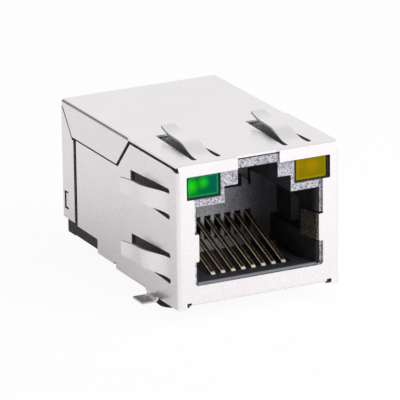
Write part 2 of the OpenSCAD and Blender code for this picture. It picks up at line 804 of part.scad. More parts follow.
module lead_carrier() {
    half = module_half - insert_fit;
    front = lead_y - 3.6 + insert_fit;
    color(plastic_colour) from_front() difference() {
        union() {
            block([-half, front, rear_z], [half, body_back - 0.1, rear_z + wall + 0.6]);
            block([-half, lead_y - 0.7, rear_z], [half, body_back - 0.1, board_z]);
        }
        for (i = [1:LEADS])
            along_x(lead_x(i) - lead_w / 2 - lead_fit, lead_x(i) + lead_w / 2 + lead_fit)
                ribbon(lead_line(), lead_t + 2 * lead_fit);
        // tray for the chokes
        block([-half + 1, front + 0.6, rear_z + wall], [half - 1, lead_y - 0.7 - 0.4, board_z]);
    }
}

module circuit_board() {
    color([0.1, 0.35, 0.2]) from_front() difference() {
        block([-board_half, board_y[0], board_z], [board_half, board_y[1], board_z + board_t]);
        for (i = [1:CONTACTS]) board_hole(contact_x(i), tail_y);
        for (i = [1:LEADS]) board_hole(lead_x(i), lead_y);
        for (side = SIDES, lead = SIDES)
            board_hole(side * pocket_x + lead * lamp_wire_x, lamp_wire_y, 0.42);
    }
}

module board_hole(x, y, r = hole_r) {
    translate([x, y, board_z - 1]) cylinder(r = r, h = board_t + 2);
}

// A ring core with rounded rims, hung under the circuit board.
module ring_core(d, h) {
    bore = d * core_bore / 2;
    rotate_extrude() round_rect([bore, -h / 2], [d / 2, h / 2], 0.15);
}

// Turns of wire around a ring core, joined by a run of wire round its outside, and
// two ends that rise to the circuit board.
module winding(d, h) {
    bore = d * core_bore / 2;
    gap = 0.02;
    out = d / 2 + gap;
    for (i = [0:turns - 1]) rotate([0, 0, i * 360 / turns])
        translate([0, wire_d / 2, 0]) rotate([90, 0, 0]) linear_extrude(height = wire_d) difference() {
            round_rect([bore - gap - wire_d, -h / 2 - gap - wire_d],
                       [out + wire_d, h / 2 + gap + wire_d], 0.2);
            round_rect([bore - gap, -h / 2 - gap], [out, h / 2 + gap], 0.1);
        }
    rotate_extrude() translate([out, -wire_d / 2]) square(wire_d);
    for (side = SIDES)
        block([side * (out + wire_d / 2) - wire_d / 2, -wire_d / 2, 0],
              [side * (out + wire_d / 2) + wire_d / 2, wire_d / 2, h / 2 + gap + wire_d + board_gap]);
}

module at_transformer(i) {
    translate([(2 * i - 3) * transformer_at[0], transformer_at[1],
               core_top - wire_d - 0.02 - transformer_h / 2]) children();
}

module at_choke(i) {
    translate([(2 * i - 3) * choke_at[0], choke_at[1],
               core_top - wire_d - 0.02 - choke_h / 2]) children();
}

module transformer_core(i) {
    color([0.25, 0.24, 0.24]) from_front() at_transformer(i) ring_core(transformer_d, transformer_h);
}

module transformer_winding(i) {
    color([0.72, 0.35, 0.15]) from_front() at_transformer(i) winding(transformer_d, transformer_h);
}

module choke_core(i) {
    color([0.25, 0.24, 0.24]) from_front() at_choke(i) ring_core(choke_d, choke_h);
}

module choke_winding(i) {
    color([0.72, 0.35, 0.15]) from_front() at_choke(i) winding(choke_d, choke_h);
}

// A chip part on the circuit board: its middle at x, y, and its size.
module chip(x, y, size) {
    translate([x - size[0] / 2, y - size[1] / 2, board_z + board_t]) cube(size);
}

module surge_capacitor() {
    color([0.7, 0.6, 0.45]) from_front() chip(0, choke_at[1], [4.6, 2, 1.6]);
}

module termination_resistors() {
    color([0.1, 0.1, 0.1]) from_front()
        for (i = [-1.5:1:1.5]) chip(i * 1.6, lamp_wire_y + 1.8, [0.8, 1.6, 0.45]);
}

// ---- nodes ---------------------------------------------------------------------

shield();
housing();
contact_carrier();
for (i = [1:CONTACTS])
    contact(i);
green_lamp();
green_lamp_leads();
yellow_lamp();
yellow_lamp_leads();
circuit_board();
for (i = [1:2]) {
    transformer_core(i);
    transformer_winding(i);
    choke_core(i);
    choke_winding(i);
}
surge_capacitor();
termination_resistors();
lead_carrier();
for (i = [1:LEADS])
    board_lead(i);
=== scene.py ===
# Looks of a shielded network jack: nickel-plated sheet, glass-filled housing, gilt
# contacts and two lamps, on a plain white table.
import math

import bpy
from mathutils import Matrix, Vector


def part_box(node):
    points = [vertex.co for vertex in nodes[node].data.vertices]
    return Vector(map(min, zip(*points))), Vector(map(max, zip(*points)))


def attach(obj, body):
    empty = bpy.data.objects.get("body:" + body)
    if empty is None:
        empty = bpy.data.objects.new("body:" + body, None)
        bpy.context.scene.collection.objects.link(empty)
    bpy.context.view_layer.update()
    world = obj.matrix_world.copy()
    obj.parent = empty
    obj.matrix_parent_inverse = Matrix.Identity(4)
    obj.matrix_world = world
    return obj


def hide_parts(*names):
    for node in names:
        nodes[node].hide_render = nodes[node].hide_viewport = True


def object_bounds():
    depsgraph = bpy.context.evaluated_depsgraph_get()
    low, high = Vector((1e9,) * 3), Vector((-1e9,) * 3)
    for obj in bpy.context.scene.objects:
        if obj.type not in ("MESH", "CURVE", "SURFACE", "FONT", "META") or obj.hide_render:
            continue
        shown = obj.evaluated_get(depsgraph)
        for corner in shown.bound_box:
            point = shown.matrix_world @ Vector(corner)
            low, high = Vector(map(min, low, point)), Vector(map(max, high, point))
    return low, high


MM = 0.001

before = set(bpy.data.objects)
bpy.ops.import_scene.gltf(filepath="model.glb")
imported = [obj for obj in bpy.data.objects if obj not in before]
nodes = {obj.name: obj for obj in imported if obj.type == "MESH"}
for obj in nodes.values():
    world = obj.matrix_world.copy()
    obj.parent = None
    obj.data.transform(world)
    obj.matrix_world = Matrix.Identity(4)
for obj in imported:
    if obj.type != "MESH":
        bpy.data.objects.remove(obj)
cad_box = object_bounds()
bpy.ops.object.select_all(action="DESELECT")

TABLE_Z = cad_box[0][2]


# ---- camera ----------------------------------------------------------------------

AIM = Vector((-3.51, -1.29, 8.87)) * MM
VIEW_FROM = (-26.54, 18.13)          # azimuth and elevation, degrees
VIEW_ROLL = -0.75                    # degrees
VIEW_DISTANCE = 376.4 * MM
LENS = 378.0
SENSOR_WIDTH = 36.0
CLIP = (0.01, 10.0)                  # metres


def add_camera():
    """A long lens from the front left, slightly above."""
    azimuth, elevation = (math.radians(a) for a in VIEW_FROM)
    back = Vector((math.sin(azimuth) * math.cos(elevation),
                   -math.cos(azimuth) * math.cos(elevation), math.sin(elevation)))
    right = Vector((math.cos(azimuth), math.sin(azimuth), 0))
    up = back.cross(right)
    roll = math.radians(VIEW_ROLL)
    across = math.cos(roll) * right + math.sin(roll) * up
    over = -math.sin(roll) * right + math.cos(roll) * up
    turn = Matrix((across, over, back)).transposed()
    data = bpy.data.cameras.new("camera")
    data.lens = LENS
    data.sensor_width = SENSOR_WIDTH
    data.clip_start, data.clip_end = CLIP
    camera = bpy.data.objects.new("camera", data)
    camera.matrix_world = Matrix.Translation(AIM + back * VIEW_DISTANCE) @ turn.to_4x4()
    bpy.context.scene.collection.objects.link(camera)
    bpy.context.scene.camera = camera


# ---- node helpers ----------------------------------------------------------------

FLOAT, VECTOR, COLOR = "NodeSocketFloat", "NodeSocketVector", "NodeSocketColor"
MOULDED_DEPTH = 0.02 * MM            # of a moulded skin's pits
ROLLED_DEPTH = 0.002 * MM            # of a rolled sheet's grain


def new_material(name):
    """A material with a Principled BSDF, its node tree and that shader."""
    material = bpy.data.materials.new(name)
    material.use_nodes = True
    tree = material.node_tree
    tree.nodes.clear()
    shader = tree.nodes.new("ShaderNodeBsdfPrincipled")
    output = tree.nodes.new("ShaderNodeOutputMaterial")
    tree.links.new(shader.outputs["BSDF"], output.inputs["Surface"])
    return material, tree, shader


def feed(tree, slot, value):
    """Links a socket to slot, or sets slot to a number, a vector or a colour."""
    if isinstance(value, bpy.types.NodeSocket):
        tree.links.new(value, slot)
    elif slot.type == "RGBA":
        slot.default_value = (*value, 1)
    else:
        slot.default_value = value


def object_coordinates(tree, scale=(1, 1, 1)):
    """Object coordinates in millimetres, stretched by scale."""
    source = tree.nodes.new("ShaderNodeTexCoord")
    mapping = tree.nodes.new("ShaderNodeMapping")
    mapping.inputs["Scale"].default_value = [s / MM for s in scale]
    tree.links.new(source.outputs["Object"], mapping.inputs["Vector"])
    return mapping.outputs["Vector"]


def split_vector(tree, vector):
    """A vector's X, Y and Z, by name."""
    split = tree.nodes.new("ShaderNodeSeparateXYZ")
    tree.links.new(vector, split.inputs["Vector"])
    return {axis: split.outputs[axis] for axis in "XYZ"}


def new_math(tree, operation, first, second=0.0, clamp=False):
    node = tree.nodes.new("ShaderNodeMath")
    node.operation = operation
    node.use_clamp = clamp
    feed(tree, node.inputs[0], first)
    feed(tree, node.inputs[1], second)
    return node.outputs["Value"]


def vector_math(tree, operation, first, second):
    node = tree.nodes.new("ShaderNodeVectorMath")
    node.operation = operation
    feed(tree, node.inputs[0], first)
    feed(tree, node.inputs[1], second)
    return node.outputs["Value"]


def new_range(tree, value, start, end, low, high, kind="LINEAR"):
    """Runs from low to high while value runs from start to end."""
    node = tree.nodes.new("ShaderNodeMapRange")
    node.interpolation_type = kind
    feed(tree, node.inputs["Value"], value)
    feed(tree, node.inputs["From Min"], start)
    feed(tree, node.inputs["From Max"], end)
    feed(tree, node.inputs["To Min"], low)
    feed(tree, node.inputs["To Max"], high)
    return node.outputs["Result"]


def ramp(tree, value, start, end, low, high):
    """new_range with a smooth step."""
    return new_range(tree, value, start, end, low, high, "SMOOTHSTEP")


def mix_values(tree, factor, first, second):
    node = tree.nodes.new("ShaderNodeMix")
    feed(tree, node.inputs["Factor"], factor)
    feed(tree, node.inputs["A"], first)
    feed(tree, node.inputs["B"], second)
    return node.outputs["Result"]


def mix_colours(tree, factor, first, second):
    """Mixes two colours; each is a socket or three numbers."""
    node = tree.nodes.new("ShaderNodeMix")
    node.data_type = "RGBA"
    feed(tree, node.inputs["Factor"], factor)
    feed(tree, node.inputs["A"], first)
    feed(tree, node.inputs["B"], second)
    return node.outputs["Result"]


def new_noise(tree, vector, scale, detail, distortion=0.0):
    node = tree.nodes.new("ShaderNodeTexNoise")
    tree.links.new(vector, node.inputs["Vector"])
    feed(tree, node.inputs["Scale"], scale)
    node.inputs["Detail"].default_value = detail
    node.inputs["Distortion"].default_value = distortion
    return node.outputs["Fac"]


def add_bump(tree, shader, height, strength, distance=MOULDED_DEPTH):
    bump = tree.nodes.new("ShaderNodeBump")
    bump.inputs["Strength"].default_value = strength
    bump.inputs["Distance"].default_value = distance
    tree.links.new(height, bump.inputs["Height"])
    tree.links.new(bump.outputs["Normal"], shader.inputs["Normal"])


# ---- shared effects, as node groups --------------------------------------------------

MOTTLE_CONTRAST = (0.36, 0.64)       # the noise that is all dark and all light

# A lamp's rim, in millimetres in from its edge
LINE_RISES = (0.04, 0.14)
LINE_FALLS = (0.16, 0.28)
LINE_STRENGTH = 0.7
OUTLINE_WIDTH = 0.1
OUTLINE_STRENGTH = 0.75


def new_group(name, inputs, outputs):
    """A node group, what goes into it by name, and its output node."""
    group = bpy.data.node_groups.new(name, "ShaderNodeTree")
    for label, kind, value in inputs:
        socket = group.interface.new_socket(label, in_out="INPUT", socket_type=kind)
        if value is not None:
            socket.default_value = value
    for label, kind in outputs:
        group.interface.new_socket(label, in_out="OUTPUT", socket_type=kind)
    start, end = group.nodes.new("NodeGroupInput"), group.nodes.new("NodeGroupOutput")
    return group, start.outputs, end.inputs


def add_group(tree, group, values):
    """Places a group with its own values, and gives its outputs."""
    node = tree.nodes.new("ShaderNodeGroup")
    node.node_tree = group
    for label, value in values.items():
        feed(tree, node.inputs[label], value)
    return node.outputs


def mottle_group():
    """Soft patches between two colours, with a finer speckle over them."""
    group, given, result = new_group(
        "mottle",
        [("Vector", VECTOR, None), ("Patch Scale", FLOAT, 0.3), ("Speckle Scale", FLOAT, 4.0),
         ("Speckle", FLOAT, 0.5), ("Dark", COLOR, (0, 0, 0, 1)), ("Light", COLOR, (1, 1, 1, 1))],
        [("Color", COLOR), ("Value", FLOAT)])
    patch = new_noise(group, given["Vector"], given["Patch Scale"], detail=3)
    speckle = new_noise(group, given["Vector"], given["Speckle Scale"], detail=2)
    blend = mix_values(group, given["Speckle"], patch, speckle)
    contrast = new_range(group, blend, *MOTTLE_CONTRAST, 0.0, 1.0)
    colour = mix_colours(group, contrast, given["Dark"], given["Light"])
    group.links.new(colour, result["Color"])
    group.links.new(contrast, result["Value"])
    return group


def box_mask_group():
    """1 inside a box and 0 outside it, with soft walls. X counts on either side."""
    group, given, result = new_group(
        "box mask",
        [("Vector", VECTOR, None), ("Low", VECTOR, (0, 0, 0)), ("High", VECTOR, (1, 1, 1)),
         ("Softness", FLOAT, 0.08)],
        [("Mask", FLOAT)])
    place, low, high = (split_vector(group, given[label]) for label in ("Vector", "Low", "High"))
    place["X"] = new_math(group, "ABSOLUTE", place["X"])
    inside = 1.0
    for axis in "XYZ":
        for wall, before, after in ((low[axis], 0.0, 1.0), (high[axis], 1.0, 0.0)):
            start = new_math(group, "SUBTRACT", wall, given["Softness"])
            end = new_math(group, "ADD", wall, given["Softness"])
            step = ramp(group, place[axis], start, end, before, after)
            inside = new_math(group, "MULTIPLY", step, inside)
    group.links.new(inside, result["Mask"])
    return group


def outline_group():
    """The distance outside a rectangle in X and Z, less than 0 inside it."""
    group, given, result = new_group(
        "outline distance",
        [("Vector", VECTOR, None), ("Centre", VECTOR, (0, 0, 0)), ("Half", VECTOR, (1, 1, 1))],
        [("Distance", FLOAT)])
    place, centre, half = (split_vector(group, given[label])
                           for label in ("Vector", "Centre", "Half"))
    past = []
    for axis in "XZ":
        off = new_math(group, "ABSOLUTE", new_math(group, "SUBTRACT", place[axis], centre[axis]))
        past.append(new_math(group, "SUBTRACT", off, half[axis]))
    group.links.new(new_math(group, "MAXIMUM", *past), result["Distance"])
    return group


def glow_group():
    """A round painted glow that fades out at its radius."""
    group, given, result = new_group(
        "glow",
        [("Vector", VECTOR, None), ("Centre", VECTOR, (0, 0, 0)), ("Radius", FLOAT, 1.0),
         ("Strength", FLOAT, 1.0)],
        [("Value", FLOAT)])
    distance = vector_math(group, "DISTANCE", given["Vector"], given["Centre"])
    glow = ramp(group, distance, 0.0, given["Radius"], given["Strength"], 0.0)
    group.links.new(glow, result["Value"])
    return group


def lens_rim_group():
    """A lamp's face, with a dark outline of painted shade at its edge and a paler line inside
    it.
    """
    group, given, result = new_group(
        "lens rim",
        [("Distance", FLOAT, 0.0), ("Face", COLOR, (0, 0, 0, 1)), ("Line", COLOR, (1, 1, 1, 1)),
         ("Outline", COLOR, (0, 0, 0, 1))],
        [("Color", COLOR)])
    inset = new_math(group, "MULTIPLY", given["Distance"], -1.0)
    line = new_math(group, "MULTIPLY", ramp(group, inset, *LINE_RISES, 0.0, 1.0),
                    ramp(group, inset, *LINE_FALLS, LINE_STRENGTH, 0.0))
    framed = mix_colours(group, line, given["Face"], given["Line"])
    outline = ramp(group, inset, 0.0, OUTLINE_WIDTH, 1 - OUTLINE_STRENGTH, 1.0)
    group.links.new(mix_colours(group, outline, given["Outline"], framed), result["Color"])
    return group


MOTTLE = mottle_group()
BOX_MASK = box_mask_group()
OUTLINE = outline_group()
GLOW = glow_group()
LENS_RIM = lens_rim_group()


def add_mottle(tree, vector, dark, light, patch, speckle, share):
    """The two colours, the scales of patches and speckle, and the speckle's share."""
    return add_group(tree, MOTTLE, {"Vector": vector, "Patch Scale": patch, "Dark": dark,
                                    "Speckle Scale": speckle, "Speckle": share, "Light": light})


def within(tree, vector, box, softness=0.08):
    """The mask of a box, given by its low and high corner."""
    low, high = box
    return add_group(tree, BOX_MASK, {"Vector": vector, "Low": low, "High": high,
                                      "Softness": softness})["Mask"]


def outline_distance(tree, vector, low, high):
    """The distance outside the box from low to high, both in metres, as seen from the front."""
    return add_group(tree, OUTLINE, {"Vector": vector, "Centre": (low + high) / 2 / MM,
                                     "Half": (high - low) / 2 / MM})["Distance"]


# ---- materials -------------------------------------------------------------------

CLOUD_SHADE = 0.85                   # of a lamp's colour, in its darker clouds
OUTLINE_SHADE = 0.1                  # the same, in its outline of painted shade


def metal(name, dark, light, roughness, stretch=(1, 1, 1), metallic=1.0, places=()):
    """Plated metal with faint clouds of tone and a fine rolled grain. Each of places is a
    colour of painted shade, reflection or highlight and the box in which the metal turns to it."""
    material, tree, shader = new_material(name)
    shader.inputs["Metallic"].default_value = metallic
    coordinates = object_coordinates(tree)
    clouds = add_mottle(tree, coordinates, dark, light, patch=0.25, speckle=2.5, share=0.3)
    colour = clouds["Color"]
    for tint, box in places:
        colour = mix_colours(tree, within(tree, coordinates, box), colour, tint)
    tree.links.new(colour, shader.inputs["Base Color"])
    stretched = object_coordinates(tree, stretch)
    grain = add_mottle(tree, stretched, dark, light, patch=2.0, speckle=9.0, share=0.5)["Value"]
    tree.links.new(new_range(tree, grain, 0.0, 1.0, *roughness), shader.inputs["Roughness"])
    add_bump(tree, shader, grain, strength=0.004, distance=ROLLED_DEPTH)
    return material


def plastic(name, dark, light, roughness, speckle=7.0, bump=0.3, share=0.7):
    """Moulded plastic with a mottled, slightly pitted skin."""
    material, tree, shader = new_material(name)
    skin = add_mottle(tree, object_coordinates(tree), dark, light, 0.8, speckle, share)
    tree.links.new(skin["Color"], shader.inputs["Base Color"])
    shine = new_range(tree, skin["Value"], 0.0, 1.0, *roughness)
    tree.links.new(shine, shader.inputs["Roughness"])
    add_bump(tree, shader, skin["Value"], bump)
    return material


def lamp_material(name, node, left, right, rim, glow, spots):
    """Tinted epoxy that goes from one colour at the left to another at the right. Each of
    spots is a place of painted glow, from the middle of the face, with its radius and strength."""
    material, tree, shader = new_material(name)
    shader.inputs["Roughness"].default_value = 0.45
    shader.inputs["Specular IOR Level"].default_value = 0.02
    low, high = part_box(node)
    centre, half = (low + high) / 2 / MM, (high - low) / 2 / MM
    front = Vector((centre.x, low.y / MM, centre.z))
    coordinates = object_coordinates(tree)
    darker = [c * CLOUD_SHADE for c in left]
    cloud = add_mottle(tree, coordinates, darker, left, patch=0.6, speckle=3.0, share=0.3)
    along = split_vector(tree, coordinates)["X"]
    across = ramp(tree, along, centre.x - half.x, centre.x + half.x, 0.0, 1.0)
    body = mix_colours(tree, across, cloud["Color"], right)
    brightest = 0.0
    # The spots are painted glow in the base colour, not emission
    for place, radius, strength in spots:
        spot = add_group(tree, GLOW, {"Vector": coordinates, "Centre": front + Vector(place),
                                      "Radius": radius, "Strength": strength})
        brightest = new_math(tree, "MAXIMUM", brightest, spot["Value"])
    face = mix_colours(tree, brightest, body, glow)
    distance = outline_distance(tree, coordinates, low, high)
    framed = add_group(tree, LENS_RIM, {"Distance": distance, "Face": face, "Line": rim,
                                        "Outline": [c * OUTLINE_SHADE for c in left]})
    tree.links.new(framed["Color"], shader.inputs["Base Color"])
    return material


# The housing, in millimetres
MOUTH_ENDS = (-5.0, -4.0)            # in Y, from the mouth's painted light to the back wall's
WALL_DARKENS = (0.5, 5.2)            # in X, over which painted shade darkens the back wall
GAP_FADES = (0.12, 0.2)              # out from the lamps, over which their painted shadow fades
GAP_BELOW = 0.02
GAP_BESIDE_YELLOW = 0.12
SILL = ((0.0, -5.9, 2.6), (5.95, -5.4, 2.75))
NOTCHES = ((6.3, -6.2, 0.0), (8.2, -5.2, 1.7))
FORWARDS = (-0.8, -0.95)             # the normal's Y where a face starts to count as front
WALL_SHADE = 0.85                    # how dark the painted shade makes the back wall at the right
SILL_SOFTNESS = 0.03

INNER = ((0.012, 0.012, 0.0145), (0.035, 0.035, 0.043))
# Painted light on the back wall, lit through the mouth
BACK_WALL = ((0.25, 0.25, 0.27), (0.58, 0.58, 0.63))
# Painted light: the paler colour of the faces that look forwards, over their spark-eroded
# grooves
LIT_ERODED_FRONT = ((0.11, 0.11, 0.12), (0.46, 0.46, 0.51))
# Painted shadow in the narrow gaps round the lamps
GAP_SHADE = (0.004, 0.004, 0.004)
# Painted highlight along the front edge of the cavity floor
SILL_HIGHLIGHT = (0.2, 0.2, 0.23)
# Painted shadow in the recessed pockets beside the ground leaves
NOTCH_SHADE = (0.02, 0.02, 0.02)


def eroded_grooves(tree, coordinates):
    """Winding grooves of spark erosion: 0 in a groove, 1 between them."""
    noise = new_noise(tree, coordinates, 3.6, detail=1.5, distortion=0.6)
    ridge = new_math(tree, "ABSOLUTE", new_math(tree, "SUBTRACT", noise, 0.5))
    return ramp(tree, ridge, 0.0, 0.09, 0.0, 1.0)


def housing_material():
    """Black glass-filled nylon with spark-eroded grooves. Painted light makes the faces that
    look forwards paler, at the mouth and on the back wall, where painted shade darkens it to the
    right; painted shadow darkens the narrow gaps round the lamps and the notches, a painted
    highlight lines the front edge of the cavity floor, and elsewhere the nylon is near black."""
    material, tree, shader = new_material("glass-filled nylon")
    shader.inputs["Specular IOR Level"].default_value = 0.3
    coordinates = object_coordinates(tree)
    place = split_vector(tree, coordinates)
    inner = add_mottle(tree, coordinates, *INNER, patch=0.8, speckle=6.0, share=0.6)["Color"]
    wall = add_mottle(tree, coordinates, *BACK_WALL, patch=0.5, speckle=7.0, share=0.7)["Color"]
    grooves = eroded_grooves(tree, coordinates)
    front = mix_colours(tree, grooves, *LIT_ERODED_FRONT)
    geometry = tree.nodes.new("ShaderNodeNewGeometry")
    facing = split_vector(tree, geometry.outputs["True Normal"])
    # Faces that look forwards take painted light; the others keep the near-black inner colour
    forwards = ramp(tree, facing["Y"], *FORWARDS, 0.0, 1.0)
    deep = ramp(tree, place["Y"], *MOUTH_ENDS, 0.0, 1.0)
    # Painted shade darkens the back wall towards the right
    shade = ramp(tree, place["X"], *WALL_DARKENS, 0.0, WALL_SHADE)
    ahead = mix_colours(tree, deep, front, mix_colours(tree, shade, wall, inner))
    colour = mix_colours(tree, forwards, inner, ahead)
    # Painted shadow in the gaps round the lamps, on faces that look forwards
    for name, beside in (("green_lamp", 0.0), ("yellow_lamp", GAP_BESIDE_YELLOW)):
        low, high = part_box(name)
        distance = outline_distance(tree, coordinates, low - Vector((0, 0, GAP_BELOW)) * MM,
                                    high + Vector((beside, 0, 0)) * MM)
        near = ramp(tree, distance, *GAP_FADES, 1.0, 0.0)
        gap = new_math(tree, "MULTIPLY", near, forwards)
        colour = mix_colours(tree, gap, colour, GAP_SHADE)
    # Painted highlight along the cavity floor's front edge
    sill = within(tree, coordinates, SILL, SILL_SOFTNESS)
    colour = mix_colours(tree, sill, colour, SILL_HIGHLIGHT)
    # Painted shadow in the pockets beside the ground leaves
    colour = mix_colours(tree, within(tree, coordinates, NOTCHES), colour, NOTCH_SHADE)
    tree.links.new(colour, shader.inputs["Base Color"])
    shine = new_range(tree, grooves, 0.0, 1.0, 0.6, 0.48)
    tree.links.new(shine, shader.inputs["Roughness"])
    add_bump(tree, shader, grooves, 0.25)
    return material


# Places where a metal's colour turns to painted shade, reflection or highlight: the low and the
# high corner, in millimetres
# Painted shade on the ground leaves, deep in the dark mouth
GROUND_LEAVES = ((2.0, -5.6, 2.2), (6.7, 6.0, 10.0))
# Painted reflection of the shield's side, darkening the tops of the feet
FOOT_TOPS = ((8.4, -3.0, 0.1), (12.0, 3.0, 0.5))
CONTACT_TIPS = ((0.0, -4.5, 0.0), (6.0, -3.72, 9.0))
CONTACT_TIP_EDGES = ((0.0, -4.5, 0.0), (6.0, -3.7, 9.0))
# Painted highlight: the pale gold of the contacts' tips, lit by the softbox
PAINTED_TIP_HIGHLIGHT = (1.0, 0.93, 0.78)

# The nickel turns dark on the ground leaves as painted shade, and on the feet's tops as painted
# reflection
NICKEL = metal("nickel plate", (0.922, 0.898, 0.906), (0.945, 0.921, 0.929), (0.26, 0.28),
               stretch=(1, 0.12, 1), places=[((0.25, 0.232, 0.222), GROUND_LEAVES),
                                             ((0.52, 0.47, 0.47), FOOT_TOPS)])
# The contacts' gold is painted near black as painted shade, the dark cavity mirrored in it
GILT = metal("gold plate", (0.015, 0.01, 0.006), (0.04, 0.027, 0.014), (0.26, 0.32),
             stretch=(1, 0.2, 1), metallic=0.35, places=[(PAINTED_TIP_HIGHLIGHT, CONTACT_TIPS)])
# Painted highlight: a paler gold on the contacts' broken edges
GILT_EDGE = metal("gold plate on the edges", (0.95, 0.76, 0.48), (1.0, 0.86, 0.62),
                  (0.42, 0.5), metallic=0.35, places=[(PAINTED_TIP_HIGHLIGHT, CONTACT_TIP_EDGES)])
TIN = metal("tin plate", (0.62, 0.61, 0.60), (0.74, 0.73, 0.72), (0.35, 0.5))
COPPER = metal("enamelled copper", (0.45, 0.16, 0.06), (0.62, 0.25, 0.1), (0.25, 0.35))
HOUSING = housing_material()
CARRIER = plastic("moulded carrier", (0.03, 0.03, 0.034), (0.07, 0.07, 0.075), (0.4, 0.55))
FERRITE = plastic("ferrite", (0.03, 0.03, 0.032), (0.07, 0.065, 0.06), (0.5, 0.7))
BOARD = plastic("solder mask", (0.012, 0.09, 0.04), (0.02, 0.14, 0.07), (0.2, 0.3),
                speckle=2.0, bump=0.05, share=0.3)
CERAMIC = plastic("fired ceramic", (0.36, 0.25, 0.14), (0.46, 0.33, 0.2), (0.35, 0.5),
                  speckle=4.0, bump=0.1)
FILM = plastic("thick film", (0.015, 0.015, 0.015), (0.03, 0.03, 0.032), (0.3, 0.4),
               speckle=4.0, bump=0.1)
GREEN = lamp_material("green epoxy", "green_lamp",
                      left=(0.0, 0.14, 0.008), right=(0.0, 0.085, 0.05),
                      rim=(0.01, 0.26, 0.09), glow=(0.01, 0.5, 0.0),
                      spots=[((-1.25, 0, 0.1), 1.05, 1.0), ((0.0, 0, 0.3), 0.8, 0.75)])
YELLOW = lamp_material("yellow epoxy", "yellow_lamp",
                       left=(0.19, 0.13, 0.0), right=(0.16, 0.14, 0.0),
                       rim=(0.25, 0.225, 0.0), glow=(0.28, 0.17, 0.0),
                       spots=[((0.1, 0, 0.3), 1.2, 0.9), ((-1.2, 0, 0.5), 1.0, 0.6)])


# ---- which node gets which material ------------------------------------------------

CONTACTS = ["contact_%d" % number for number in range(1, 9)]
BOARD_LEADS = [name for name in nodes if name.startswith("board_lead_")]


def paint(material, *names):
    """Gives CAD nodes a material."""
    for name in names:
        mesh = nodes[name].data
        mesh.materials.clear()
        mesh.materials.append(material)


paint(NICKEL, "shield")
paint(HOUSING, "housing")
paint(CARRIER, "contact_carrier", "lead_carrier")
paint(GILT, *CONTACTS)
paint(TIN, "green_lamp_leads", "yellow_lamp_leads", *BOARD_LEADS)
paint(GREEN, "green_lamp")
paint(YELLOW, "yellow_lamp")
paint(BOARD, "circuit_board")
paint(FERRITE, *[name for name in nodes if "_core_" in name])
paint(COPPER, *[name for name in nodes if "_winding_" in name])
paint(CERAMIC, "surge_capacitor")
paint(FILM, "termination_resistors")


# ---- broken edges ----------------------------------------------------------------

TO_MM = 1000                         # the edges are worked on in millimetres
MERGE_DISTANCE = 0.003
FLAT_ANGLE = math.radians(0.3)
SHARP_ANGLE = math.radians(35)
SMOOTH_ANGLE = math.radians(50)
# Faces this near a contact's tip take the painted highlight of its edges
TIP_LENGTH = 0.15 * MM


def select_only(piece):
    bpy.ops.object.select_all(action="DESELECT")
    piece.select_set(True)
    bpy.context.view_layer.objects.active = piece


def scale_mesh(factor):
    """Scales the active mesh about the origin, and leaves edit mode open."""
    bpy.ops.object.mode_set(mode="EDIT")
    bpy.ops.mesh.select_all(action="SELECT")
    bpy.ops.transform.resize(value=factor, center_override=(0, 0, 0))


def break_edges(name, width, material, edge_material=None, holed=False):
    """A merged copy of a CAD node with its sharp edges broken by width, in millimetres, shown
    in its place. A piece whose flat faces have holes keeps its triangles."""
    mesh = nodes[name].data.copy()
    piece = bpy.data.objects.new(name + "_finished", mesh)
    bpy.context.scene.collection.objects.link(piece)
    select_only(piece)
    scale_mesh((TO_MM,) * 3)
    bpy.ops.mesh.remove_doubles(threshold=MERGE_DISTANCE)
    bpy.ops.mesh.dissolve_degenerate(threshold=MERGE_DISTANCE)
    if not holed:
        bpy.ops.mesh.dissolve_limited(angle_limit=FLAT_ANGLE)
    bpy.ops.object.mode_set(mode="OBJECT")
    mesh.materials.clear()
    mesh.materials.append(material)
    if edge_material:
        mesh.materials.append(edge_material)
    edges = piece.modifiers.new("broken edges", "BEVEL")
    edges.width = width
    edges.segments = 1
    edges.limit_method = "ANGLE"
    edges.angle_limit = SHARP_ANGLE
    edges.use_clamp_overlap = False
    edges.material = 1 if edge_material else 0
    bpy.ops.object.modifier_apply(modifier="broken edges")
    bpy.ops.object.shade_smooth_by_angle(angle=SMOOTH_ANGLE)
    flats = piece.modifiers.new("flat faces", "WEIGHTED_NORMAL")
    flats.mode = "FACE_AREA"
    flats.weight = 100
    flats.keep_sharp = True
    bpy.ops.object.modifier_apply(modifier="flat faces")
    scale_mesh((1 / TO_MM,) * 3)
    bpy.ops.object.mode_set(mode="OBJECT")
    low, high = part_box(name)
    for vertex in piece.data.vertices:
        vertex.co = [min(max(c, a), b) for c, a, b in zip(vertex.co, low, high)]
    bpy.ops.object.select_all(action="DESELECT")
    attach(piece, "root")
    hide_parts(name)
    return piece


break_edges("housing", 0.04, HOUSING, holed=True)
break_edges("green_lamp", 0.05, GREEN)
break_edges("yellow_lamp", 0.05, YELLOW)
# The contacts' broken edges and tips get the paler gold of painted highlight
for name in CONTACTS:
    contact = break_edges(name, 0.045, GILT, GILT_EDGE)
    tip_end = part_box(name)[0].y + TIP_LENGTH
    for face in contact.data.polygons:
        if face.center.y < tip_end:
            face.material_index = 1
for name in BOARD_LEADS:
    break_edges(name, 0.04, TIN)


# ---- catches in the windows of the rear flanges ------------------------------------

CATCH_LOW = Vector((7.93, 17.03, 3.57)) * MM      # on the right side
CATCH_HIGH = Vector((8.05, 17.50, 4.98)) * MM
PAD_MARGIN, PAD_HEIGHT = 0.09 * MM, 0.03 * MM
DISH_MARGIN, DISH_DEPTH = 0.12 * MM, 0.015 * MM
PRESSED_EDGE = 0.02 * MM
FACES_RIGHT = 0.9                    # the least X of such a face's normal


def finish_catch(piece):
    bpy.ops.object.mode_set(mode="OBJECT")
    piece.data.materials.append(NICKEL)
    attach(piece, "root")


